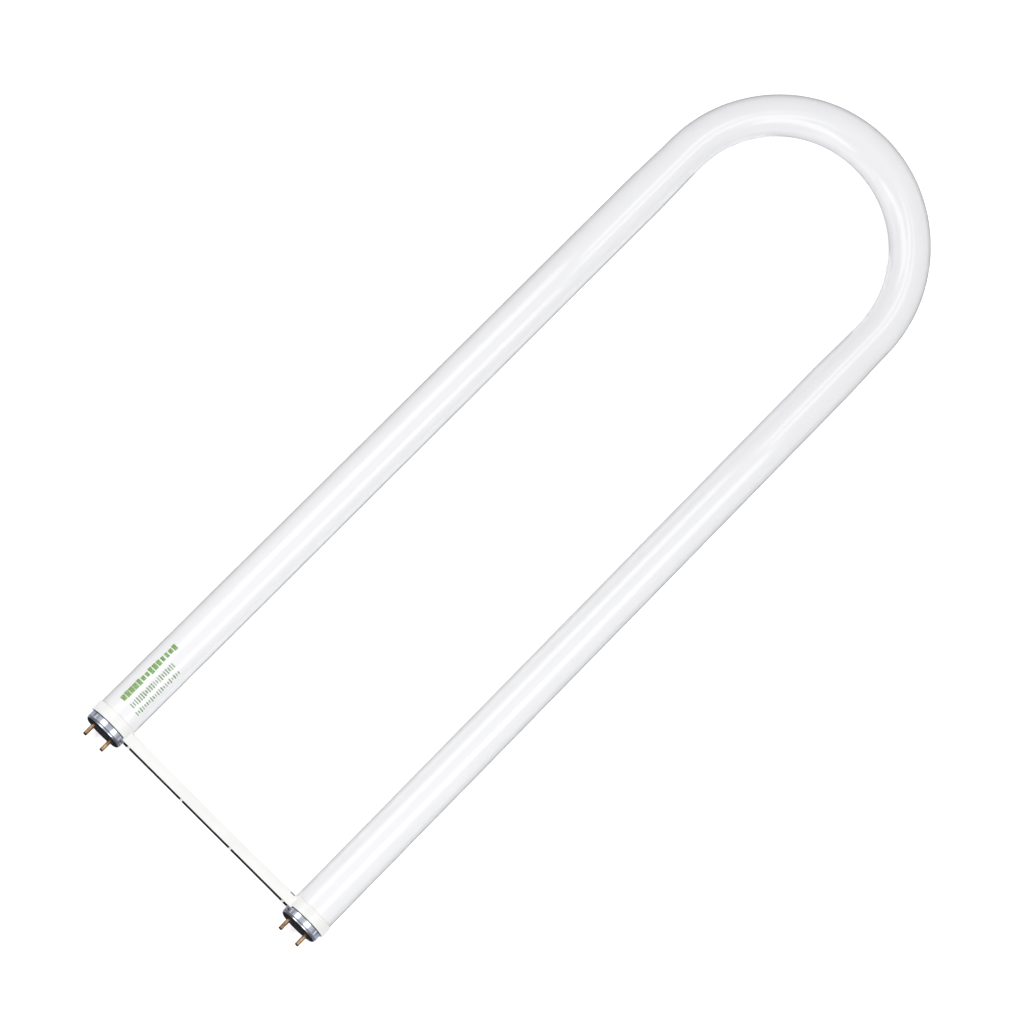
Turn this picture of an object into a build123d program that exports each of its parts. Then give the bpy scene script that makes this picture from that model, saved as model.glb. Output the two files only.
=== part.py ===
from build123d import *
from math import pi, sin
import os

# U-bent fluorescent lamp, lying flat. X runs across its two legs, Y runs from the
# contact pins to the bend, and Z is up. The origin is under the middle of the lamp,
# at the height that it lies on. All sizes are in millimetres.

# Driving dimensions of the glass
overall_length = 574.0      # pin tips to the outside of the bend
leg_spacing = 152.4         # between the axes of the legs
tube_d = 25.4               # straight part of a leg
bend_stretch = 3.2          # the bend reaches this much further than a half circle
thinning = 0.7              # the softened glass loses this much radius before the bend
apex_fullness = 0.1         # and has this much more than a leg at the top of the bend
taper_length = 38.0         # over which a leg thins before the bend
bend_steps = 8              # sections along the bend, less one
shoulder_gap = 0.6          # end of the cap to the shoulder of the glass
shoulder_length = 1.6       # from the neck out to the full tube
shoulder_rounding = 1.0     # either side of the shoulder

# Stem: the glass that turns back into each end and carries the wires
seal_inset = 3.2            # cap face to the end of the glass
seal_width = 1.5            # rounded edge where tube and stem are melted together
seal_rounding = 0.5
stem_bore_d = 9.0
flare_length = 11.0         # cone from the sealed edge to the bore
flare_rounding = 5.0        # from the cone into the bore
stem_depth = 24.0           # sealed edge to the press
press_rounding = 0.6
exhaust_tube_d = 4.0
exhaust_tube_length = 15.0  # stands out of the press, with its end melted shut
exhaust_tip_fullness = 0.9  # rounding of that end, where 1 is a half ball

# Metal cap
cap_step = 0.5              # its surface lies this far inside that of the tube
cap_sheet = 0.4
cap_length = 7.4
cap_corner = 2.2            # outside rounding of its edge
cap_rim_width = 3.0         # turned in over the pin plate

# Basing cement, between the cap and the neck of the glass
cement_thickness = 0.64
cement_length = 3.6

# Pin plate
plate_thickness = 1.6
plate_recess = 0.25         # its face lies this far behind the cap's face
pin_boss_d = 5.0
pin_boss_height = 0.8

# Contact pins
pin_d = 2.35
pin_bore_d = 1.6
pin_shank_d = 2.0           # through the pin plate
pin_foot_d = 2.9            # shoulder that rests on the pin plate
pin_foot_height = 0.25
pin_root_radius = 0.2       # from the foot into the pin
pin_pitch = 12.7
pin_reach = 7.1             # past the cap's face
pin_tip_radius = 0.55
pin_tip_hole_d = 0.9
pin_tip_thickness = 0.7
pin_flange_d = 3.8
pin_flange_thickness = 0.5
pin_tail = 1.2              # behind its flange
pin_rounding = 0.1

# Lead wires
wire_d = 0.5
wire_straight = 2.0         # past the pin's tail, before it turns inwards
wire_bend_radius = 3.0
wire_tip_gap = 0.3          # wire end to the inside of the pin's tip

# Spacer: two collars and the ribbed channel between them, moulded in one
collar_wall = 0.82
collar_inset = 6.2          # cap face to the lower rim of the collar
collar_length = 6.6
collar_rounding = 0.5
channel_lead = 1.2          # its open side is this much nearer the pins than the collar
channel_width = 6.6         # along Y
channel_height = 14.6       # along Z
channel_wall = 1.3
channel_rounding = 0.8
rib_thickness = 1.0
rib_pitch = 38.1            # between the two middle ribs
end_rib_gap = 1.9           # from the outside of the collar
gate_notch_length = 3.0     # mark of the mould, on one corner of the channel
gate_notch_width = 0.4
gate_notch_depth = 0.6
gate_notch_inset = 0.5      # from the edge of the channel towards the bend

# Clearances
fit = 0.03                  # pressed or cemented pieces
slip = 0.08                 # collar over glass

# Radii of what fits together, from the tube inwards and outwards
tube_r = tube_d / 2
narrow_r = tube_r - thinning
apex_r = tube_r + apex_fullness
collar_r = tube_r + slip + collar_wall
cap_r = tube_r - cap_step
cap_bore_r = cap_r - cap_sheet
cap_hole_r = cap_r - cap_rim_width
neck_r = cap_bore_r - cement_thickness - 2 * fit
stem_bore_r = stem_bore_d / 2
exhaust_r = exhaust_tube_d / 2
pin_r = pin_d / 2
pin_bore_r = pin_bore_d / 2
pin_shank_r = pin_shank_d / 2
pin_foot_r = pin_foot_d / 2
pin_flange_r = pin_flange_d / 2
press_wire_offset = (stem_bore_r + exhaust_r) / 2

# Places in the lamp
axis_height = collar_r
half_spacing = leg_spacing / 2
cap_face = pin_reach - overall_length / 2
bend_rise = half_spacing + bend_stretch
bend_centre = overall_length / 2 - apex_r - bend_rise

# Places along a leg, counted from the cap's face
bend_start = bend_centre - cap_face
shoulder_start = cap_length + shoulder_gap
shoulder_end = shoulder_start + shoulder_length
press = seal_inset + stem_depth
cement_start = cap_length - cap_sheet - cement_length
plate_back = cap_sheet + plate_thickness
boss_back = plate_back + pin_boss_height
flange_back = boss_back + pin_flange_thickness
pin_end = flange_back + pin_tail
tip_inside = pin_tip_thickness - pin_reach
pin_foot = plate_recess - pin_foot_height
collar_end = collar_inset + collar_length
channel_start = collar_inset - channel_lead
sides = {"left": -1, "right": 1}

os.makedirs("parts", exist_ok=True)


def leg_plane(side):
    """Across a leg: X out from its axis, Y along it, counted from the cap's face."""
    return Plane(origin=(side * half_spacing, cap_face, axis_height))


def leg_axis(side):
    return Axis((side * half_spacing, cap_face, axis_height), (0, 1, 0))


def bend_radius(share):
    """Radius of the tube at a share of the way round the bend, fullest at the top."""
    fullness = sin(pi * share) ** 4
    return narrow_r + fullness * (apex_r - narrow_r)


# Glass: two legs with their stems, and the bend
with BuildPart() as bulb:
    for side in sides.values():
        with BuildSketch(leg_plane(side)):
            with BuildLine():
                FilletPolyline(
                    (0, press - exhaust_tube_length),
                    (exhaust_r, press - exhaust_tube_length),
                    (exhaust_r, press),
                    (stem_bore_r, press),
                    (stem_bore_r, seal_inset + flare_length),
                    (neck_r - seal_width, seal_inset),
                    (neck_r, seal_inset),
                    (neck_r, shoulder_start),
                    (tube_r, shoulder_end),
                    (tube_r, bend_start - taper_length),
                    radius=[
                        exhaust_r * exhaust_tip_fullness,
                        press_rounding,
                        press_rounding,
                        flare_rounding,
                        seal_rounding,
                        seal_rounding,
                        shoulder_rounding,
                        shoulder_rounding,
                    ],
                )
                Spline(
                    (tube_r, bend_start - taper_length),
                    (narrow_r, bend_start),
                    tangents=((0, 1), (0, 1)),
                )
                Polyline(
                    (narrow_r, bend_start),
                    (0, bend_start),
                    (0, press - exhaust_tube_length),
                )
            make_face()
        revolve(axis=leg_axis(side))

    with BuildLine(Plane.XY.offset(axis_height)) as bend_path:
        EllipticalCenterArc(
            (0, bend_centre), half_spacing, bend_rise, start_angle=0, arc_size=180
        )
    for step in range(bend_steps + 1):
        share = step / bend_steps
        middle = bend_path.line @ share
        along = bend_path.line % share
        with BuildSketch(Plane(origin=middle, x_dir=(0, 0, 1), z_dir=along)):
            Circle(bend_radius(share))
    sweep(path=bend_path.line, multisection=True)
bulb.part.label = "bulb"
export_step(bulb.part, "parts/bulb.step")

# Moulded spacer, whose channel opens towards the pins
with BuildPart() as spacer:
    with BuildSketch(Plane.XY.offset(axis_height)):
        with Locations((0, cap_face + channel_start + channel_width / 2)):
            Rectangle(leg_spacing, channel_width)
    extrude(amount=channel_height / 2, both=True)
    fillet(spacer.edges().filter_by(Axis.X), radius=channel_rounding)
    pocket_floor = channel_width - channel_wall
    with BuildSketch(Plane.XZ.offset(-cap_face - channel_start)):
        with Locations((0, axis_height)):
            Rectangle(leg_spacing, channel_height - 2 * channel_wall)
        rib_places = [-rib_pitch / 2, rib_pitch / 2]
        end_rib = half_spacing - collar_r - end_rib_gap - rib_thickness / 2
        rib_places += [side * end_rib for side in sides.values()]
        with Locations([(place, axis_height) for place in rib_places]):
            Rectangle(rib_thickness, channel_height, mode=Mode.SUBTRACT)
    extrude(amount=-pocket_floor, mode=Mode.SUBTRACT)
    notch_middle = half_spacing - collar_r - gate_notch_length / 2
    notch_line = cap_face + channel_start + channel_width - gate_notch_inset
    with BuildSketch(Plane.XY.offset(axis_height + channel_height / 2)):
        with Locations((notch_middle, notch_line)):
            Rectangle(gate_notch_length, gate_notch_width)
    extrude(amount=-gate_notch_depth, mode=Mode.SUBTRACT)
    for side in sides.values():
        with BuildSketch(leg_plane(side)):
            with BuildLine():
                FilletPolyline(
                    (0, collar_inset),
                    (collar_r, collar_inset),
                    (collar_r, collar_end),
                    (0, collar_end),
                    radius=collar_rounding,
                )
                Line((0, collar_end), (0, collar_inset))
            make_face()
        revolve(axis=leg_axis(side))
    for side in sides.values():
        with BuildSketch(Plane.XZ.offset(-cap_face)):
            with Locations((side * half_spacing, axis_height)):
                Circle(tube_r + slip)
        extrude(amount=-collar_end, mode=Mode.SUBTRACT)
spacer.part.label = "spacer"
export_step(spacer.part, "parts/spacer.step")

for name, side in sides.items():
    pin_places = {"outer": side * pin_pitch / 2, "inner": -side * pin_pitch / 2}

    # Drawn metal cap, its edge turned in over the pin plate
    with BuildPart() as cap:
        with BuildSketch(leg_plane(side)):
            with BuildLine():
                FilletPolyline(
                    (cap_hole_r + cap_sheet / 2, cap_sheet / 2),
                    (cap_r - cap_sheet / 2, cap_sheet / 2),
                    (cap_r - cap_sheet / 2, cap_length - cap_sheet / 2),
                    radius=cap_corner - cap_sheet / 2,
                )
                offset(amount=cap_sheet / 2, side=Side.BOTH)
            make_face()
        revolve(axis=leg_axis(side))
    cap.part.label = f"cap_{name}"
    export_step(cap.part, f"parts/cap_{name}.step")

    # Pin plate, held behind the edge of the cap
    with BuildPart() as plate:
        with BuildSketch(Plane.XZ.offset(-cap_face - cap_sheet)):
            with Locations((side * half_spacing, axis_height)):
                Circle(cap_r - cap_corner)
        extrude(amount=-plate_thickness)
        with BuildSketch(Plane.XZ.offset(-cap_face - plate_recess)):
            with Locations((side * half_spacing, axis_height)):
                Circle(cap_hole_r - fit)
        extrude(amount=plate_recess - plate_back)
        pins_middle = side * half_spacing
        pin_centres = [(pins_middle + place, axis_height) for place in pin_places.values()]
        with BuildSketch(Plane.XZ.offset(-cap_face - plate_back)):
            with Locations(pin_centres):
                Circle(pin_boss_d / 2)
        extrude(amount=-pin_boss_height)
        with BuildSketch(Plane.XZ.offset(-cap_face)):
            with Locations(pin_centres):
                Circle(pin_shank_r + fit)
        extrude(amount=-boss_back, mode=Mode.SUBTRACT)
    plate.part.label = f"pin_plate_{name}"
    export_step(plate.part, f"parts/pin_plate_{name}.step")

    # Basing cement between the cap and the neck of the glass
    with BuildPart() as cement:
        with BuildSketch(Plane.XZ.offset(-cap_face - cement_start)):
            with Locations((side * half_spacing, axis_height)):
                Circle(cap_bore_r - fit)
                Circle(neck_r + fit, mode=Mode.SUBTRACT)
        extrude(amount=-cement_length)
    cement.part.label = f"basing_cement_{name}"
    export_step(cement.part, f"parts/basing_cement_{name}.step")

    for place_name, place in pin_places.items():
        toward_centre = -1 if place > 0 else 1
        pin_x = side * half_spacing + place
        wire_x = side * half_spacing - toward_centre * press_wire_offset
        pin_plane = Plane(origin=(pin_x, cap_face, axis_height))

        # Hollow pin, its foot on the pin plate and its shank staked behind
        with BuildPart() as pin:
            with BuildSketch(pin_plane):
                with BuildLine():
                    FilletPolyline(
                        (pin_tip_hole_d / 2, tip_inside),
                        (pin_tip_hole_d / 2, -pin_reach),
                        (pin_r, -pin_reach),
                        (pin_r, pin_foot),
                        (pin_foot_r, pin_foot),
                        (pin_foot_r, plate_recess),
                        radius=[pin_rounding, pin_tip_radius, pin_root_radius, pin_rounding],
                    )
                    Polyline(
                        (pin_foot_r, plate_recess),
                        (pin_shank_r, plate_recess),
                        (pin_shank_r, boss_back),
                    )
                    FilletPolyline(
                        (pin_shank_r, boss_back),
                        (pin_flange_r, boss_back),
                        (pin_flange_r, flange_back),
                        (pin_shank_r, flange_back),
                        radius=pin_rounding,
                    )
                    Polyline(
                        (pin_shank_r, flange_back),
                        (pin_shank_r, pin_end),
                        (pin_bore_r, pin_end),
                        (pin_bore_r, tip_inside),
                        (pin_tip_hole_d / 2, tip_inside),
                    )
                make_face()
            revolve(axis=Axis((pin_x, cap_face, axis_height), (0, 1, 0)))
        pin.part.label = f"pin_{name}_{place_name}"
        export_step(pin.part, f"parts/pin_{name}_{place_name}.step")

        # Lead wire from the press of the stem to the tip of its pin
        with BuildPart() as wire:
            with BuildLine(Plane.XY.offset(axis_height)) as wire_path:
                FilletPolyline(
                    (pin_x, cap_face + tip_inside + wire_tip_gap),
                    (pin_x, cap_face + pin_end + wire_straight),
                    (wire_x, cap_face + seal_inset + flare_length),
                    (wire_x, cap_face + press),
                    radius=wire_bend_radius,
                )
            with BuildSketch(Plane(origin=wire_path.line @ 0, z_dir=wire_path.line % 0)):
                Circle(wire_d / 2)
            sweep(path=wire_path.line)
        wire.part.label = f"lead_wire_{name}_{place_name}"
        export_step(wire.part, f"parts/lead_wire_{name}_{place_name}.step")
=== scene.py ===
from math import cos, pi, radians, sin, tan

import bmesh
import bpy
from mathutils import Matrix, Vector


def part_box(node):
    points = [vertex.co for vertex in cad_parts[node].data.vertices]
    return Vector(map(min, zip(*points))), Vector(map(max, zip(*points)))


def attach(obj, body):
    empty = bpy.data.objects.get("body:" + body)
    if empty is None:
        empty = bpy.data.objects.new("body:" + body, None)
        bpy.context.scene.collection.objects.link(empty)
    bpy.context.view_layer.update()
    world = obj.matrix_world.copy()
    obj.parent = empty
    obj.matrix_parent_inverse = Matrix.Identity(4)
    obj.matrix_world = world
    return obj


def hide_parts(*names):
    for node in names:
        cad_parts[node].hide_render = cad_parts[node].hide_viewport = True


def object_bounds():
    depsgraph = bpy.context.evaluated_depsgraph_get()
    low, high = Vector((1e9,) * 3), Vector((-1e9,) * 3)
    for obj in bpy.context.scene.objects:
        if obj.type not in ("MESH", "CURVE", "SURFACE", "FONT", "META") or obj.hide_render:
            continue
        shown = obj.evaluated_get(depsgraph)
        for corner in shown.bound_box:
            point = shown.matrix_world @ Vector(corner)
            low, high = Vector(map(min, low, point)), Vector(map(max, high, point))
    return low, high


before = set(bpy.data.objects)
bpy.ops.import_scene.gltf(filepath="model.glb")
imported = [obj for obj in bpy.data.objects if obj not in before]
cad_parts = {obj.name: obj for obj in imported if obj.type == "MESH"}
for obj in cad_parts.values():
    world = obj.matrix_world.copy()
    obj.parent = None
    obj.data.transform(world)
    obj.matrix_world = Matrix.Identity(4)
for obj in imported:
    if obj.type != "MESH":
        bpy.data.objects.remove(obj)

# Dresses the U-bent lamp: coated glass, moulded spacer, metal caps and contact pins.
# Lengths are in metres. X runs across the legs, Y from the pins to the bend, Z up.

cad_low, cad_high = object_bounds()
MM = 0.001

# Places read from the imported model
cap_low, cap_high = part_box("cap_left")
bulb_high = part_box("bulb")[1]
LEG_X = -(cap_low.x + cap_high.x) / 2
AXIS_Z = (cap_low.z + cap_high.z) / 2
CAP_FACE = cap_low.y
SIDES = {"left": -1, "right": 1}

# Sizes of the glass
TUBE_RADIUS = bulb_high.x - LEG_X
NARROW_RADIUS = TUBE_RADIUS - 0.7 * MM
APEX_RADIUS = TUBE_RADIUS + 0.1 * MM
BEND_STRETCH = 3.2 * MM
BEND_RISE = LEG_X + BEND_STRETCH
BEND_Y = bulb_high.y - APEX_RADIUS - BEND_RISE
TAPER_LENGTH = 38.0 * MM
NECK_RADIUS = 11.1 * MM
SEAL_INSET = 3.2 * MM
SEAL_WIDTH = 1.5 * MM
SHOULDER_START = 8.0 * MM
SHOULDER_END = 9.6 * MM
LEG_START = 12.0 * MM
STEM_BORE_RADIUS = 4.5 * MM
FLARE_LENGTH = 11.0 * MM
PRESS = SEAL_INSET + 24.0 * MM
EXHAUST_RADIUS = 2.0 * MM
EXHAUST_TIP = PRESS - 15.0 * MM
SEAL_ROUNDING = 0.5 * MM
PRESS_ROUNDING = 0.6 * MM
FLARE_ROUNDING = 5.0 * MM
SHOULDER_ROUNDING = 1.0 * MM
EXHAUST_ROUNDING = 0.9 * EXHAUST_RADIUS
GLASS_RINGS = 420
GLASS_SEGMENTS = 96

# Sizes of the spacer and of the caps
COLLAR_RADIUS = 13.6 * MM
COLLAR_RIM = CAP_FACE + 6.2 * MM
CHANNEL_FACE = CAP_FACE + 5.0 * MM
POCKET_FLOOR = CHANNEL_FACE + 5.3 * MM
POCKET_SHELF = AXIS_Z - 6.0 * MM
MIDDLE_RIB = 19.05 * MM
END_RIB = 60.2 * MM
RIB_HALF = 0.5 * MM
NOTCH_X = LEG_X - COLLAR_RADIUS - 1.5 * MM
NOTCH_Y = CHANNEL_FACE + 6.1 * MM
NOTCH_HALF_LENGTH = 1.5 * MM
NOTCH_HALF_WIDTH = 0.35 * MM
CAP_CORNER = 2.2 * MM
# Widths of painted shade on the caps: over the end edge, and under the collar's rim
END_SHADE_WIDTH = 1.2 * MM
COLLAR_SHADE_WIDTH = 0.5 * MM
DARKER_TIP_LENGTH = 1.3 * MM

# Tones of painted shade: in the spacer's channel and notch, and over the caps' end edges
SPACER_SHADE_TONE = (0.012, 0.012, 0.012, 1)
END_SHADE_TONE = (0.012, 0.011, 0.014, 1)


# Small tools for node trees

def feed(tree, socket, value):
    """Links a socket, or sets its constant."""
    if isinstance(value, bpy.types.NodeSocket):
        tree.links.new(value, socket)
    elif value is not None:
        socket.default_value = value


def place_node(tree, kind, inputs=None, **settings):
    node = tree.nodes.new(kind)
    for name, value in settings.items():
        setattr(node, name, value)
    for name, value in (inputs or {}).items():
        feed(tree, node.inputs[name], value)
    return node


def calculate(tree, operation, *values):
    node = place_node(tree, "ShaderNodeMath", operation=operation)
    for socket, value in zip(node.inputs, values):
        feed(tree, socket, value)
    return node.outputs[0]


def multiply_all(tree, *factors):
    product = factors[0]
    for factor in factors[1:]:
        product = calculate(tree, "MULTIPLY", product, factor)
    return product


def away_from(tree, value, middle):
    """How far a value lies from the middle, either way."""
    return calculate(tree, "ABSOLUTE", calculate(tree, "SUBTRACT", value, middle))


def fade(tree, value, start, end):
    """From 0 at the start to 1 at the end, which may be the lower of the two."""
    node = place_node(
        tree, "ShaderNodeMapRange", {"Value": value, "From Min": start, "From Max": end}
    )
    return node.outputs[0]


def vector_of(tree, x, y, z):
    node = place_node(tree, "ShaderNodeCombineXYZ", {"X": x, "Y": y, "Z": z})
    return node.outputs[0]


def start_tree(name, sizes):
    """A Geometry Nodes tree with one named input for each size."""
    tree = bpy.data.node_groups.new(name, "GeometryNodeTree")
    tree.interface.new_socket("Geometry", in_out="OUTPUT", socket_type="NodeSocketGeometry")
    for size, value in sizes.items():
        kind = "NodeSocketInt" if isinstance(value, int) else "NodeSocketFloat"
        if isinstance(value, bpy.types.Material):
            kind = "NodeSocketMaterial"
        tree.interface.new_socket(size, in_out="INPUT", socket_type=kind)
    entry = tree.nodes.new("NodeGroupInput")
    return tree, entry.outputs


def finish_tree(tree, geometry, material):
    realized = place_node(tree, "GeometryNodeRealizeInstances", {"Geometry": geometry})
    painted = place_node(
        tree, "GeometryNodeSetMaterial", {"Geometry": realized.outputs[0], "Material": material}
    )
    leave = tree.nodes.new("NodeGroupOutput")
    tree.links.new(painted.outputs[0], leave.inputs[0])


def mesh_from_tree(name, tree, sizes):
    """Runs a tree with its sizes, and gives the result as a plain mesh."""
    carrier = bpy.data.objects.new(name + "_carrier", bpy.data.meshes.new(name + "_carrier"))
    bpy.context.scene.collection.objects.link(carrier)
    modifier = carrier.modifiers.new("tree", "NODES")
    modifier.node_group = tree
    for item in tree.interface.items_tree:
        if item.in_out == "INPUT":
            modifier[item.identifier] = sizes[item.name]
    depsgraph = bpy.context.evaluated_depsgraph_get()
    mesh = bpy.data.meshes.new_from_object(carrier.evaluated_get(depsgraph))
    mesh.name = name
    bpy.data.objects.remove(carrier)
    return mesh


def add_piece(name, mesh, replaces=None):
    piece = bpy.data.objects.new(name, mesh)
    bpy.context.scene.collection.objects.link(piece)
    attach(piece, "root")
    if replaces:
        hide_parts(replaces)


# Materials

def start_material(name, **shader_inputs):
    """A material with a Principled shader, its constants set on the shader itself."""
    material = bpy.data.materials.new(name)
    material.use_nodes = True
    tree = material.node_tree
    shader = tree.nodes["Principled BSDF"]
    for socket, value in shader_inputs.items():
        shader.inputs[socket.replace("_", " ")].default_value = value
    return material, tree, shader


def place_on(tree):
    """The X, Y and Z of the object coordinates."""
    coordinates = place_node(tree, "ShaderNodeTexCoord")
    split = place_node(tree, "ShaderNodeSeparateXYZ", {"Vector": coordinates.outputs["Object"]})
    return split.outputs


def stretched_noise(tree, scale, stretch=(1, 1, 1), detail=3.0, roughness=0.5):
    """Noise on object coordinates, drawn out along an axis by a small stretch factor."""
    coordinates = place_node(tree, "ShaderNodeTexCoord")
    mapping = place_node(
        tree, "ShaderNodeMapping", {"Vector": coordinates.outputs["Object"], "Scale": stretch}
    )
    noise = place_node(
        tree,
        "ShaderNodeTexNoise",
        {"Vector": mapping.outputs[0], "Scale": scale, "Detail": detail, "Roughness": roughness},
    )
    return noise.outputs["Fac"]


def blend_colours(tree, factor, *stops):
    """Colour ramp from pairs of place and colour."""
    ramp = place_node(tree, "ShaderNodeValToRGB", {"Fac": factor})
    elements = ramp.color_ramp.elements
    while len(elements) < len(stops):
        elements.new(0.5)
    for element, (place, colour) in zip(elements, stops):
        element.position = place
        element.color = (*colour, 1)
    return ramp.outputs["Color"]


def mix_colours(tree, factor, first, second):
    node = place_node(tree, "ShaderNodeMix", data_type="RGBA")
    feed(tree, node.inputs[0], factor)
    feed(tree, node.inputs[6], first)
    feed(tree, node.inputs[7], second)
    return node.outputs[2]


def spread(tree, factor, low, high):
    """Turns 0 to 1 into another range."""
    node = place_node(tree, "ShaderNodeMapRange", {"Value": factor, "To Min": low, "To Max": high})
    return node.outputs[0]


def add_bump(tree, shader, height, distance, strength=1.0):
    bump = place_node(
        tree, "ShaderNodeBump", {"Height": height, "Distance": distance, "Strength": strength}
    )
    feed(tree, shader.inputs["Normal"], bump.outputs[0])


def coated_glass():
    """White powder coating seen through clear glass, with a faint lavender cast."""
    material, tree, shader = start_material(
        "coated_glass",
        Roughness=0.11,
        IOR=1.52,
        Coat_Weight=1.0,
        Coat_Roughness=0.1,
        Coat_IOR=1.01,
        Coat_Tint=(0.91, 0.91, 0.917, 1),
    )
    cloud = stretched_noise(tree, 18.0, (1, 0.25, 1), detail=4.0)
    colour = blend_colours(
        tree, cloud, (0.3, (0.865, 0.865, 0.868)), (0.7, (0.888, 0.888, 0.89))
    )
    feed(tree, shader.inputs["Base Color"], colour)
    ripple = stretched_noise(tree, 30.0, (1, 0.12, 1), detail=1.0)
    add_bump(tree, shader, ripple, 0.02 * MM, 0.5)
    return material


def moulded_plastic():
    """Ivory white plastic, with painted shade, near black, on the lower wall inside its channel and
    in the notch by one collar.
    """
    material, tree, shader = start_material("moulded_plastic", Specular_IOR_Level=0.45)
    flow = stretched_noise(tree, 60.0, detail=4.0)
    clean = blend_colours(tree, flow, (0.3, (0.75, 0.75, 0.73)), (0.7, (0.795, 0.795, 0.775)))
    x, y, z = place_on(tree)
    # Painted shade, near black, on the lower wall inside the channel, kept off the collar and the
    # ribs
    on_shelf = fade(tree, away_from(tree, z, POCKET_SHELF), 0.3 * MM, 0.15 * MM)
    in_pocket = fade(tree, y, POCKET_FLOOR + 0.3 * MM, POCKET_FLOOR - 0.1 * MM)
    out = calculate(tree, "ABSOLUTE", x)
    collar = LEG_X - COLLAR_RADIUS
    off_collar = fade(tree, out, collar + 1.4 * MM, collar + 1.0 * MM)
    to_middle_rib = away_from(tree, out, MIDDLE_RIB)
    to_end_rib = away_from(tree, out, END_RIB)
    to_rib = calculate(tree, "MINIMUM", to_middle_rib, to_end_rib)
    off_rib = fade(tree, to_rib, RIB_HALF + 0.2 * MM, RIB_HALF + 0.5 * MM)
    pocket_shade = multiply_all(tree, on_shelf, in_pocket, off_collar, off_rib)
    # Painted shade in the notch between the bar and one collar
    across = away_from(tree, x, NOTCH_X)
    along = away_from(tree, y, NOTCH_Y)
    notch_shade = multiply_all(
        tree,
        fade(tree, across, NOTCH_HALF_LENGTH + 0.1 * MM, NOTCH_HALF_LENGTH - 0.1 * MM),
        fade(tree, along, NOTCH_HALF_WIDTH + 0.1 * MM, NOTCH_HALF_WIDTH - 0.1 * MM),
        0.8,
    )
    colour = mix_colours(tree, calculate(tree, "MAXIMUM", pocket_shade, notch_shade), clean, SPACER_SHADE_TONE)
    feed(tree, shader.inputs["Base Color"], colour)
    feed(tree, shader.inputs["Roughness"], spread(tree, flow, 0.34, 0.5))
    grain = stretched_noise(tree, 2600.0, detail=2.0)
    add_bump(tree, shader, grain, 0.02 * MM, 0.35)
    return material


def drawn_metal():
    """Aluminium with fine drawing lines, with painted shade under the collar's rim, a painted dark
    reflection line where the rounded corner begins, and painted shade, near black, over its end
    edge.
    """
    material, tree, shader = start_material("drawn_metal", Specular_IOR_Level=0.12)
    lines = stretched_noise(tree, 1500.0, (1, 0.06, 1), detail=3.0)
    haze = stretched_noise(tree, 220.0, detail=3.0)
    bare = blend_colours(tree, haze, (0.25, (0.56, 0.60, 0.70)), (0.75, (0.72, 0.76, 0.85)))
    y = place_on(tree)["Y"]
    # Painted shade where the cap goes in under the collar's rim
    edge = COLLAR_RIM - COLLAR_SHADE_WIDTH
    collar_shade = fade(tree, y, edge - 0.2 * MM, edge + 0.2 * MM)
    # A painted dark reflection line where the rounded corner of the cap begins
    corner = fade(tree, away_from(tree, y, CAP_FACE + CAP_CORNER), 0.55 * MM, 0.2 * MM)
    corner = calculate(tree, "MULTIPLY", corner, 0.85)
    # Painted shade, near black, over the cap's end edge
    edge = CAP_FACE + END_SHADE_WIDTH
    end_shade = fade(tree, y, edge + 0.15 * MM, edge - 0.15 * MM)
    dark = calculate(tree, "MAXIMUM", calculate(tree, "MAXIMUM", collar_shade, corner), end_shade)
    colour = mix_colours(tree, dark, bare, END_SHADE_TONE)
    feed(tree, shader.inputs["Base Color"], colour)
    feed(tree, shader.inputs["Metallic"], calculate(tree, "SUBTRACT", 1.0, dark))
    feed(tree, shader.inputs["Roughness"], spread(tree, haze, 0.14, 0.26))
    add_bump(tree, shader, lines, 0.01 * MM, 0.3)
    return material


def phenolic_board():
    """Nearly black board, pressed from fibres."""
    material, tree, shader = start_material("phenolic_board", Specular_IOR_Level=0.35)
    fibres = stretched_noise(tree, 900.0, (1, 1, 0.35), detail=5.0, roughness=0.7)
    colour = blend_colours(
        tree, fibres, (0.35, (0.010, 0.009, 0.012)), (0.7, (0.030, 0.026, 0.030))
    )
    feed(tree, shader.inputs["Base Color"], colour)
    feed(tree, shader.inputs["Roughness"], spread(tree, fibres, 0.45, 0.7))
    add_bump(tree, shader, fibres, 0.03 * MM, 0.4)
    return material


def pin_brass():
    """Brass, darker round the staked tip and in blotches of tarnish."""
    material, tree, shader = start_material("pin_brass", Metallic=1.0)
    tarnish = stretched_noise(tree, 700.0, (1, 0.4, 1), detail=4.0)
    # Darker towards the tip of the pin
    tip = fade(tree, place_on(tree)["Y"], cad_low.y + DARKER_TIP_LENGTH, cad_low.y)
    shade = calculate(tree, "ADD", tarnish, calculate(tree, "MULTIPLY", tip, 0.8))
    colour = blend_colours(
        tree,
        shade,
        (0.35, (0.49, 0.31, 0.17)),
        (0.60, (0.24, 0.13, 0.07)),
        (0.95, (0.03, 0.02, 0.015)),
    )
    feed(tree, shader.inputs["Base Color"], colour)
    feed(tree, shader.inputs["Roughness"], spread(tree, shade, 0.18, 0.4))
    return material


def basing_cement():
    """Rough set resin, seen only inside the caps."""
    material, tree, shader = start_material("basing_cement", Specular_IOR_Level=0.2)
    grit = stretched_noise(tree, 1200.0, detail=6.0, roughness=0.7)
    colour = blend_colours(tree, grit, (0.35, (0.34, 0.26, 0.18)), (0.7, (0.55, 0.46, 0.34)))
    feed(tree, shader.inputs["Base Color"], colour)
    feed(tree, shader.inputs["Roughness"], spread(tree, grit, 0.8, 0.95))
    add_bump(tree, shader, grit, 0.08 * MM, 0.6)
    return material


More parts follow.
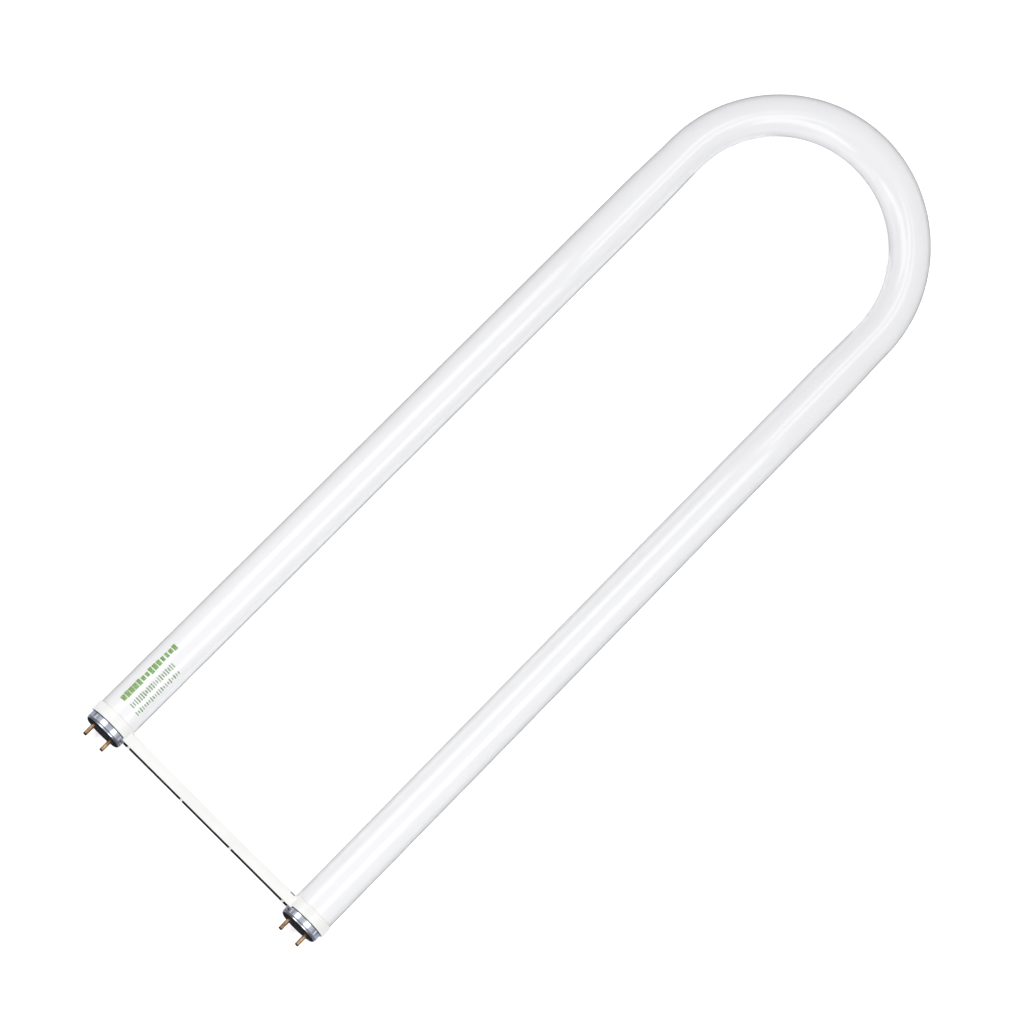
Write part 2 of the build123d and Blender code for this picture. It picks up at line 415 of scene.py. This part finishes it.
def lead_wire_metal():
    """Drawn wire with a brown oxide on it."""
    material, tree, shader = start_material("lead_wire_metal", Metallic=1.0)
    oxide = stretched_noise(tree, 1500.0, detail=3.0)
    colour = blend_colours(tree, oxide, (0.3, (0.50, 0.42, 0.36)), (0.7, (0.66, 0.60, 0.55)))
    feed(tree, shader.inputs["Base Color"], colour)
    feed(tree, shader.inputs["Roughness"], spread(tree, oxide, 0.25, 0.45))
    return material


def green_ink(name, full, thin):
    """Green ink, worn enough to show the white of the glass in places."""
    material, tree, shader = start_material(
        name, Specular_IOR_Level=0.4, Coat_Weight=0.3, Coat_Roughness=0.2
    )
    cover = stretched_noise(tree, 1400.0, detail=3.0)
    colour = blend_colours(tree, cover, (0.35, full), (0.6, thin), (0.75, (0.62, 0.78, 0.56)))
    feed(tree, shader.inputs["Base Color"], colour)
    feed(tree, shader.inputs["Roughness"], spread(tree, cover, 0.35, 0.5))
    return material


# Glass

def bent_tube_tree(sizes):
    """Sweeps a ring along both legs and the bend, with the radius that each place has."""
    tree, size = start_tree("bent_tube", sizes)
    index = place_node(tree, "GeometryNodeInputIndex").outputs[0]
    last = calculate(tree, "SUBTRACT", size["Rings"], 1.0)
    share = calculate(tree, "DIVIDE", index, last)
    leg = calculate(tree, "SUBTRACT", size["Bend centre"], size["Leg start"])
    reach = calculate(tree, "ADD", size["Half spacing"], size["Bend rise"])
    bend = calculate(tree, "MULTIPLY", reach, pi / 2)
    whole = calculate(tree, "ADD", calculate(tree, "MULTIPLY", leg, 2.0), bend)
    run = calculate(tree, "MULTIPLY", share, whole)

    up_leg = calculate(tree, "MINIMUM", run, leg)
    round_bend = calculate(tree, "DIVIDE", calculate(tree, "SUBTRACT", run, leg), bend)
    clamped = place_node(tree, "ShaderNodeClamp", {"Value": round_bend}).outputs[0]
    turn = calculate(tree, "MULTIPLY", clamped, pi)
    past_bend = calculate(tree, "SUBTRACT", calculate(tree, "SUBTRACT", run, leg), bend)
    down_leg = calculate(tree, "MAXIMUM", past_bend, 0.0)

    x = calculate(tree, "MULTIPLY", calculate(tree, "COSINE", turn), size["Half spacing"])
    rise = calculate(tree, "MULTIPLY", calculate(tree, "SINE", turn), size["Bend rise"])
    along = calculate(tree, "ADD", size["Leg start"], calculate(tree, "SUBTRACT", up_leg, down_leg))
    y = calculate(tree, "ADD", along, rise)
    middle = vector_of(tree, calculate(tree, "MULTIPLY", x, -1.0), y, size["Axis height"])

    taper = place_node(
        tree,
        "ShaderNodeMapRange",
        {
            "Value": along,
            "From Min": calculate(tree, "SUBTRACT", size["Bend centre"], size["Taper length"]),
            "From Max": size["Bend centre"],
            "To Min": size["Tube radius"],
            "To Max": size["Narrow radius"],
        },
        interpolation_type="SMOOTHSTEP",
    ).outputs[0]
    fullness = calculate(tree, "POWER", calculate(tree, "SINE", turn), 4.0)
    gain = calculate(tree, "SUBTRACT", size["Apex radius"], size["Narrow radius"])
    radius = calculate(tree, "ADD", taper, calculate(tree, "MULTIPLY", fullness, gain))

    line = place_node(tree, "GeometryNodeMeshLine", {"Count": size["Rings"]})
    stored = place_node(
        tree,
        "GeometryNodeStoreNamedAttribute",
        {"Geometry": line.outputs[0], "Name": "tube_radius", "Value": radius},
        data_type="FLOAT",
    )
    laid = place_node(
        tree, "GeometryNodeSetPosition", {"Geometry": stored.outputs[0], "Position": middle}
    )
    path = place_node(tree, "GeometryNodeMeshToCurve", {"Mesh": laid.outputs[0]})
    named = place_node(
        tree, "GeometryNodeInputNamedAttribute", {"Name": "tube_radius"}, data_type="FLOAT"
    )
    ring = place_node(
        tree, "GeometryNodeCurvePrimitiveCircle", {"Resolution": size["Segments"], "Radius": 1.0}
    )
    swept = place_node(
        tree,
        "GeometryNodeCurveToMesh",
        {"Curve": path.outputs[0], "Profile Curve": ring.outputs[0], "Scale": named.outputs[0]},
    )
    finish_tree(tree, swept.outputs[0], size["Material"])
    return tree


def turn_profile(shape, points, axis_x, segments=GLASS_SEGMENTS):
    """Turns a profile of (distance from the cap's face, radius) round a leg's axis."""
    rings = []
    for along, radius in points:
        if radius == 0:
            rings.append([shape.verts.new((axis_x, CAP_FACE + along, AXIS_Z))])
            continue
        ring = []
        for step in range(segments):
            angle = 2 * pi * step / segments
            x = axis_x + radius * cos(angle)
            z = AXIS_Z + radius * sin(angle)
            ring.append(shape.verts.new((x, CAP_FACE + along, z)))
        rings.append(ring)
    for first, second in zip(rings, rings[1:]):
        for step in range(segments):
            following = (step + 1) % segments
            corners = [
                first[step % len(first)],
                first[following % len(first)],
                second[following % len(second)],
                second[step % len(second)],
            ]
            shape.faces.new(list(dict.fromkeys(corners)))


def rounded(corners, steps=6):
    """Points of a profile whose corners, given as (along, radius, rounding), are made arcs."""
    points = [Vector(corners[0][:2])]
    for before, corner, after in zip(corners, corners[1:], corners[2:]):
        at = Vector(corner[:2])
        back = Vector(before[:2]) - at
        forward = Vector(after[:2]) - at
        if not corner[2]:
            points.append(at)
            continue
        turn = back.angle(forward)
        reach = corner[2] / tan(turn / 2)
        start = at + back.normalized() * reach
        end = at + forward.normalized() * reach
        bisector = (back.normalized() + forward.normalized()).normalized()
        middle = at + bisector * corner[2] / sin(turn / 2)
        first = start - middle
        last = end - middle
        whole = first.angle(last)
        for step in range(steps + 1):
            share = step / steps
            weight = sin((1 - share) * whole), sin(share * whole)
            points.append(middle + (first * weight[0] + last * weight[1]) / sin(whole))
    points.append(Vector(corners[-1][:2]))
    return [tuple(point) for point in points]


def stem_profile():
    """From the melted tip of the exhaust tube out to the full tube."""
    return rounded([
        (EXHAUST_TIP, 0.0, 0),
        (EXHAUST_TIP, EXHAUST_RADIUS, EXHAUST_ROUNDING),
        (PRESS, EXHAUST_RADIUS, PRESS_ROUNDING),
        (PRESS, STEM_BORE_RADIUS, PRESS_ROUNDING),
        (SEAL_INSET + FLARE_LENGTH, STEM_BORE_RADIUS, FLARE_ROUNDING),
        (SEAL_INSET, NECK_RADIUS - SEAL_WIDTH, SEAL_ROUNDING),
        (SEAL_INSET, NECK_RADIUS, SEAL_ROUNDING),
        (SHOULDER_START, NECK_RADIUS, SHOULDER_ROUNDING),
        (SHOULDER_END, TUBE_RADIUS, SHOULDER_ROUNDING),
        (LEG_START, TUBE_RADIUS, 0),
    ])


def shade_smoothly(mesh, sharpest=40):
    """Smooth shading, apart from edges that turn by more than the given degrees."""
    for face in mesh.polygons:
        face.use_smooth = True
    shape = bmesh.new()
    shape.from_mesh(mesh)
    for edge in shape.edges:
        if edge.is_manifold and edge.calc_face_angle(0) > radians(sharpest):
            edge.smooth = False
    shape.to_mesh(mesh)
    shape.free()


def make_glass(material):
    """The bent tube with a turned stem at each end, as one closed shell."""
    sizes = {
        "Half spacing": LEG_X,
        "Axis height": AXIS_Z,
        "Leg start": CAP_FACE + LEG_START,
        "Bend centre": BEND_Y,
        "Bend rise": BEND_RISE,
        "Taper length": TAPER_LENGTH,
        "Tube radius": TUBE_RADIUS,
        "Narrow radius": NARROW_RADIUS,
        "Apex radius": APEX_RADIUS,
        "Rings": GLASS_RINGS,
        "Segments": GLASS_SEGMENTS,
        "Material": material,
    }
    mesh = mesh_from_tree("glass", bent_tube_tree(sizes), sizes)
    shape = bmesh.new()
    shape.from_mesh(mesh)
    for side in SIDES.values():
        turn_profile(shape, stem_profile(), side * LEG_X)
    bmesh.ops.remove_doubles(shape, verts=shape.verts, dist=0.01 * MM)
    bmesh.ops.recalc_face_normals(shape, faces=shape.faces)
    shape.to_mesh(mesh)
    shape.free()
    shade_smoothly(mesh)
    add_piece("glass", mesh, "bulb")


# Printed bars on the left leg: each row's arc from the crown to its middle, and its other sizes

PRINT_ROWS = {
    "bold": {
        "Row middle": -5.3 * MM,
        "Bar height": 4.8 * MM,
        "Row start": CAP_FACE + 20.1 * MM,
        "Row end": CAP_FACE + 62.6 * MM,
        "Bars": 14,
        "Thinnest": 0.6,
        "Thickest": 0.92,
    },
    "middle": {
        "Row middle": 1.45 * MM,
        "Bar height": 4.0 * MM,
        "Row start": CAP_FACE + 20.6 * MM,
        "Row end": CAP_FACE + 54.1 * MM,
        "Bars": 21,
        "Thinnest": 0.3,
        "Thickest": 0.6,
    },
    "last": {
        "Row middle": 6.65 * MM,
        "Bar height": 3.6 * MM,
        "Row start": CAP_FACE + 19.6 * MM,
        "Row end": CAP_FACE + 53.6 * MM,
        "Bars": 21,
        "Thinnest": 0.3,
        "Thickest": 0.6,
    },
}
PRINT_LIFT = 0.03 * MM


def uneven(tree, seed, low, high):
    """A different number for each point, between two."""
    node = place_node(tree, "FunctionNodeRandomValue", {"Seed": seed}, data_type="FLOAT")
    feed(tree, node.inputs[2], low)
    feed(tree, node.inputs[3], high)
    return node.outputs[1]


def bar_row_tree(sizes):
    """A row of flat bars of uneven length, bent onto the tube."""
    tree, size = start_tree("bar_row", sizes)
    row_length = calculate(tree, "SUBTRACT", size["Row end"], size["Row start"])
    pitch = calculate(tree, "DIVIDE", row_length, size["Bars"])
    index = place_node(tree, "GeometryNodeInputIndex").outputs[0]
    steps = calculate(tree, "ADD", index, 0.5)
    along = calculate(tree, "ADD", size["Row start"], calculate(tree, "MULTIPLY", steps, pitch))
    line = place_node(tree, "GeometryNodeMeshLine", {"Count": size["Bars"]})
    spots = place_node(
        tree,
        "GeometryNodeSetPosition",
        {"Geometry": line.outputs[0], "Position": vector_of(tree, size["Row middle"], along, 0.0)},
    )
    bar = place_node(
        tree,
        "GeometryNodeMeshGrid",
        {"Size X": size["Bar height"], "Size Y": pitch, "Vertices X": 12, "Vertices Y": 2},
    )
    length = uneven(tree, size["Seed"], size["Thinnest"], size["Thickest"])
    height = uneven(tree, calculate(tree, "ADD", size["Seed"], 10.0), 0.45, 1.0)
    placed = place_node(
        tree,
        "GeometryNodeInstanceOnPoints",
        {
            "Points": spots.outputs[0],
            "Instance": bar.outputs[0],
            "Scale": vector_of(tree, height, length, 1.0),
        },
    )
    flat = place_node(tree, "GeometryNodeRealizeInstances", {"Geometry": placed.outputs[0]})
    position = place_node(tree, "GeometryNodeInputPosition").outputs[0]
    split = place_node(tree, "ShaderNodeSeparateXYZ", {"Vector": position})
    angle = calculate(tree, "DIVIDE", split.outputs["X"], size["Tube radius"])
    reach = calculate(tree, "ADD", size["Tube radius"], size["Lift"])
    across = calculate(tree, "MULTIPLY", calculate(tree, "SINE", angle), reach)
    rise = calculate(tree, "MULTIPLY", calculate(tree, "COSINE", angle), reach)
    wrapped = vector_of(
        tree,
        calculate(tree, "SUBTRACT", across, size["Half spacing"]),
        split.outputs["Y"],
        calculate(tree, "ADD", rise, size["Axis height"]),
    )
    bent = place_node(
        tree, "GeometryNodeSetPosition", {"Geometry": flat.outputs[0], "Position": wrapped}
    )
    finish_tree(tree, bent.outputs[0], size["Material"])
    return tree


def make_print():
    """Rows of plain bars, each a piece of its own."""
    bold = green_ink("green_ink", (0.12, 0.24, 0.05), (0.19, 0.36, 0.10))
    faint = green_ink("faint_green_ink", (0.12, 0.21, 0.09), (0.22, 0.33, 0.17))
    tube = {
        "Tube radius": TUBE_RADIUS,
        "Lift": PRINT_LIFT,
        "Half spacing": LEG_X,
        "Axis height": AXIS_Z,
    }
    tree = bar_row_tree({**PRINT_ROWS["bold"], **tube, "Seed": 0, "Material": bold})
    for seed, (row, row_sizes) in enumerate(PRINT_ROWS.items()):
        ink = bold if row == "bold" else faint
        sizes = {**row_sizes, **tube, "Seed": seed, "Material": ink}
        mesh = mesh_from_tree(f"print_row_{row}", tree, sizes)
        add_piece(f"print_row_{row}", mesh)


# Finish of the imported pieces

def dress_node(node, material):
    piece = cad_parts[node]
    piece.data.materials.clear()
    piece.data.materials.append(material)


def dress_packed_pieces():
    metal = drawn_metal()
    board = phenolic_board()
    brass = pin_brass()
    cement = basing_cement()
    wire = lead_wire_metal()
    dress_node("spacer", moulded_plastic())
    for name in SIDES:
        dress_node(f"cap_{name}", metal)
        dress_node(f"pin_plate_{name}", board)
        dress_node(f"basing_cement_{name}", cement)
        for place in ("outer", "inner"):
            dress_node(f"pin_{name}_{place}", brass)
            dress_node(f"lead_wire_{name}_{place}", wire)


# Studio

FLOOR_HALF = 8.0
WORLD_COLOUR = (0.99, 0.99, 1.0, 1)
WORLD_STRENGTH = 0.69

# Each light: name, place, width, length and brightness
SOFT_LIGHTS = (
    ("soft_left", (-0.42, -0.4, 0.95), 0.26, 0.8, 5.6),
    ("soft_right", (0.95, -0.5, 1.7), 0.5, 1.0, 6.6),
    ("soft_bend", (0.001, 0.85, 0.35), 1.0, 0.2, 2.4),
)
GLEAMS = (
    ("gleam_left", (-0.27, -0.3, 0.36), 0.20, 1.0, 2.6),
    ("gleam_right", (0.22, -0.3, 0.36), 0.18, 1.0, 2.6),
    ("gleam_bend_left", (-0.075, 0.27, 0.36), 0.10, 0.15, 2.4),
    ("gleam_bend_right", (0.075, 0.27, 0.36), 0.10, 0.15, 2.4),
)
PAPER_LIGHT = ("paper_light", (0, 0, 4), 6, 6, 0.85)

# Sizes of the cards
ARC_STEPS = 48
CARD_HEIGHT = 1.0 * MM
END_CARD_HEIGHT = 2.0 * MM
BESIDE_GLASS = TUBE_RADIUS + 1.5 * MM
RIM_CARD_REACH = TUBE_RADIUS + 160.0 * MM
BEND_CARD_REACH = 70.0 * MM
INNER_CARD_REACH = TUBE_RADIUS + 28.0 * MM
LEFT_INNER_CARD_REACH = TUBE_RADIUS + 16.0 * MM
INNER_CARD_START = COLLAR_RIM + 12.0 * MM
LEG_CARD_START = COLLAR_RIM + 4.0 * MM
CAP_CARD_SIDE = LEG_X + 160.0 * MM
CAP_OUTLINE_HALF = 15.5 * MM
PIN_CARD_SIDE = LEG_X + 60.0 * MM
PIN_CARD_FRONT = CAP_FACE - 200.0 * MM
CAP_SIDE_EDGE = CAP_FACE - 2.0 * MM
PIN_WALL_REACH = 45.0 * MM
PIN_WALL_FRONT = CAP_FACE - 60.0 * MM
WALL_FOOT = 3.0 * MM
PIN_WALL_TOP = 45.0 * MM
HORIZON = 1.1
HORIZON_HEIGHT = 0.35
HORIZON_SPREAD = pi / 4

# The camera, fitted to the outlines of the lamp in the photograph
CAMERA_PLACE = Vector((-33.4, -505.8, 2245.4)) * MM
CAMERA_TILT = radians(12.10)
CAMERA_SWAY = radians(-0.80)
CAMERA_LEAN = radians(45 - 0.019)
CAMERA_LENS = 141.8
SENSOR_WIDTH = 36


def floor_paper():
    """Pale paper with a faint tooth."""
    material, tree, shader = start_material("floor_paper", Roughness=0.9, Specular_IOR_Level=0.0)
    tooth = stretched_noise(tree, 40.0, detail=2.0)
    paper = blend_colours(tree, tooth, (0.3, (0.90, 0.90, 0.905)), (0.7, (0.92, 0.92, 0.922)))
    feed(tree, shader.inputs["Base Color"], paper)
    return material


def make_floor():
    shape = bmesh.new()
    corners = []
    for x, y in ((-1, -1), (1, -1), (1, 1), (-1, 1)):
        corners.append(shape.verts.new((x * FLOOR_HALF, y * FLOOR_HALF, 0)))
    shape.faces.new(corners)
    mesh = bpy.data.meshes.new("floor")
    shape.to_mesh(mesh)
    shape.free()
    mesh.materials.append(floor_paper())
    floor = bpy.data.objects.new("floor", mesh)
    bpy.context.scene.collection.objects.link(floor)


def make_light(name, place, width, length, brightness):
    """A rectangular light that faces the lamp, as bright as a sheet of the given radiance."""
    light = bpy.data.lights.new(name, "AREA")
    light.shape = "RECTANGLE"
    light.size = width
    light.size_y = length
    light.energy = brightness * width * length * pi
    lamp = bpy.data.objects.new(name, light)
    bpy.context.scene.collection.objects.link(lamp)
    lamp.location = place
    toward = Vector((place[0], 0, place[2]))
    lamp.rotation_euler = toward.to_track_quat("Z", "X").to_euler()
    lamp.visible_camera = False
    return lamp


def make_paper_light():
    """Lifts the paper alone towards white, with no shadow of the lamp in it."""
    lamp = make_light(*PAPER_LIGHT)
    lamp.visible_glossy = False
    lit = bpy.data.collections.new("lit_paper")
    lit.objects.link(bpy.data.objects["floor"])
    lamp.light_linking.receiver_collection = lit
    lamp.light_linking.blocker_collection = lit


def make_card(name, rows, material="card"):
    """A dark card, seen only in the gloss, through rows of places."""
    shape = bmesh.new()
    edges = [[shape.verts.new(place) for place in row] for row in rows]
    for first, second in zip(edges, edges[1:]):
        shape.faces.new((first[0], first[1], second[1], second[0]))
    mesh = bpy.data.meshes.new(name)
    shape.to_mesh(mesh)
    shape.free()
    mesh.materials.append(bpy.data.materials[material])
    card = bpy.data.objects.new(name, mesh)
    bpy.context.scene.collection.objects.link(card)
    card.visible_camera = False
    card.visible_diffuse = False
    card.visible_shadow = False


def flat_rows(x_edges, y_edges, height=CARD_HEIGHT):
    return [[(x, y, height) for y in y_edges] for x in x_edges]


def row_at_bend(angle, reaches, y=BEND_Y):
    """A row across the glass at an angle of the bend, its places counted out from the axis."""
    row = []
    for reach in reaches:
        x = -cos(angle) * (LEG_X + reach)
        row.append((x, y + sin(angle) * (BEND_RISE + reach), CARD_HEIGHT))
    return row


def make_outer_cards():
    """Cards that draw the outer rim of the glass, and the inner rim of the bend."""
    reaches = (BESIDE_GLASS, RIM_CARD_REACH)
    rows = [row_at_bend(0, reaches, LEG_CARD_START)]
    rows += [row_at_bend(pi * step / ARC_STEPS, reaches) for step in range(ARC_STEPS + 1)]
    rows += [row_at_bend(pi, reaches, LEG_CARD_START)]
    make_card("rim_card", rows)
    rows = []
    for step in range(ARC_STEPS + 1):
        angle = pi / 4 + pi / 2 * step / ARC_STEPS
        rows.append(row_at_bend(angle, (-BESIDE_GLASS, -BEND_CARD_REACH)))
    make_card("bend_card", rows)


def make_horizon_cards():
    """Far cards that draw the rim of the glass from low places."""
    for name, side in SIDES.items():
        rows = []
        for step in range(ARC_STEPS + 1):
            angle = HORIZON_SPREAD * (2 * step / ARC_STEPS - 1)
            place = (side * HORIZON * cos(angle), HORIZON * sin(angle))
            rows.append([(*place, WALL_FOOT), (*place, HORIZON_HEIGHT)])
        make_card(f"horizon_card_{name}", rows, "grey_card")


def make_inner_cards():
    """Cards that draw the rims of both legs on the side of the other leg."""
    along = (INNER_CARD_START, BEND_Y)
    across = (LEG_X - INNER_CARD_REACH, LEG_X - BESIDE_GLASS)
    make_card("inner_card", flat_rows(across, along), "grey_card")
    across = (BESIDE_GLASS - LEG_X, LEFT_INNER_CARD_REACH - LEG_X)
    make_card("left_inner_card", flat_rows(across, along))


def make_cap_cards():
    """Cards that the caps and the sides of the pins mirror."""
    along = (CAP_SIDE_EDGE, LEG_CARD_START)
    make_card("cap_card", flat_rows((-CAP_CARD_SIDE, CAP_CARD_SIDE), along), "lavender_card")
    for name, side in SIDES.items():
        leg = side * LEG_X
        across = (leg - CAP_OUTLINE_HALF, leg + CAP_OUTLINE_HALF)
        make_card(f"cap_outline_card_{name}", flat_rows(across, along, END_CARD_HEIGHT))
        for x in (leg - PIN_WALL_REACH, leg + PIN_WALL_REACH):
            rows = []
            for y in (PIN_WALL_FRONT, CAP_SIDE_EDGE):
                rows.append([(x, y, WALL_FOOT), (x, y, PIN_WALL_TOP)])
            make_card(f"pin_wall_{name}", rows)


def make_cards():
    """Cards that only the gloss of the lamp sees."""
    start_material("card", Roughness=0.9, Base_Color=(0.02, 0.02, 0.02, 1))
    start_material("grey_card", Roughness=0.9, Base_Color=(0.30, 0.30, 0.32, 1))
    start_material("lavender_card", Roughness=0.9, Base_Color=(0.42, 0.42, 0.50, 1))
    make_outer_cards()
    across = (-PIN_CARD_SIDE, PIN_CARD_SIDE)
    make_card("pin_card", flat_rows(across, (PIN_CARD_FRONT, CAP_SIDE_EDGE), END_CARD_HEIGHT))
    make_horizon_cards()
    make_inner_cards()
    make_cap_cards()


def make_studio():
    """Soft lights without a gleam, gleams that light nothing, and a plain bright world."""
    make_floor()
    make_cards()
    make_paper_light()
    world = bpy.data.worlds.new("studio")
    bpy.context.scene.world = world
    world.use_nodes = True
    background = world.node_tree.nodes["Background"]
    background.inputs["Color"].default_value = WORLD_COLOUR
    background.inputs["Strength"].default_value = WORLD_STRENGTH
    for row in SOFT_LIGHTS:
        make_light(*row).visible_glossy = False
    for row in GLEAMS:
        make_light(*row).visible_diffuse = False
    bpy.context.scene.view_settings.view_transform = "Standard"


def make_camera():
    """Looks down on the lamp from the place that the photograph was taken from."""
    right = Vector((1, 0, 0))
    up = Vector((0, cos(CAMERA_TILT), sin(CAMERA_TILT)))
    back = Vector((0, -sin(CAMERA_TILT), cos(CAMERA_TILT)))
    straight = right
    right = straight * cos(CAMERA_SWAY) - back * sin(CAMERA_SWAY)
    back = straight * sin(CAMERA_SWAY) + back * cos(CAMERA_SWAY)
    straight = right
    right = straight * cos(CAMERA_LEAN) + up * sin(CAMERA_LEAN)
    up = up * cos(CAMERA_LEAN) - straight * sin(CAMERA_LEAN)
    turn = Matrix((right, up, back)).transposed().to_4x4()
    data = bpy.data.cameras.new("camera")
    data.lens = CAMERA_LENS
    data.sensor_width = SENSOR_WIDTH
    data.clip_start = 0.1
    data.clip_end = 100
    camera = bpy.data.objects.new("camera", data)
    bpy.context.scene.collection.objects.link(camera)
    camera.matrix_world = Matrix.Translation(CAMERA_PLACE) @ turn
    bpy.context.scene.camera = camera


make_camera()
make_studio()
make_glass(coated_glass())
make_print()
dress_packed_pieces()
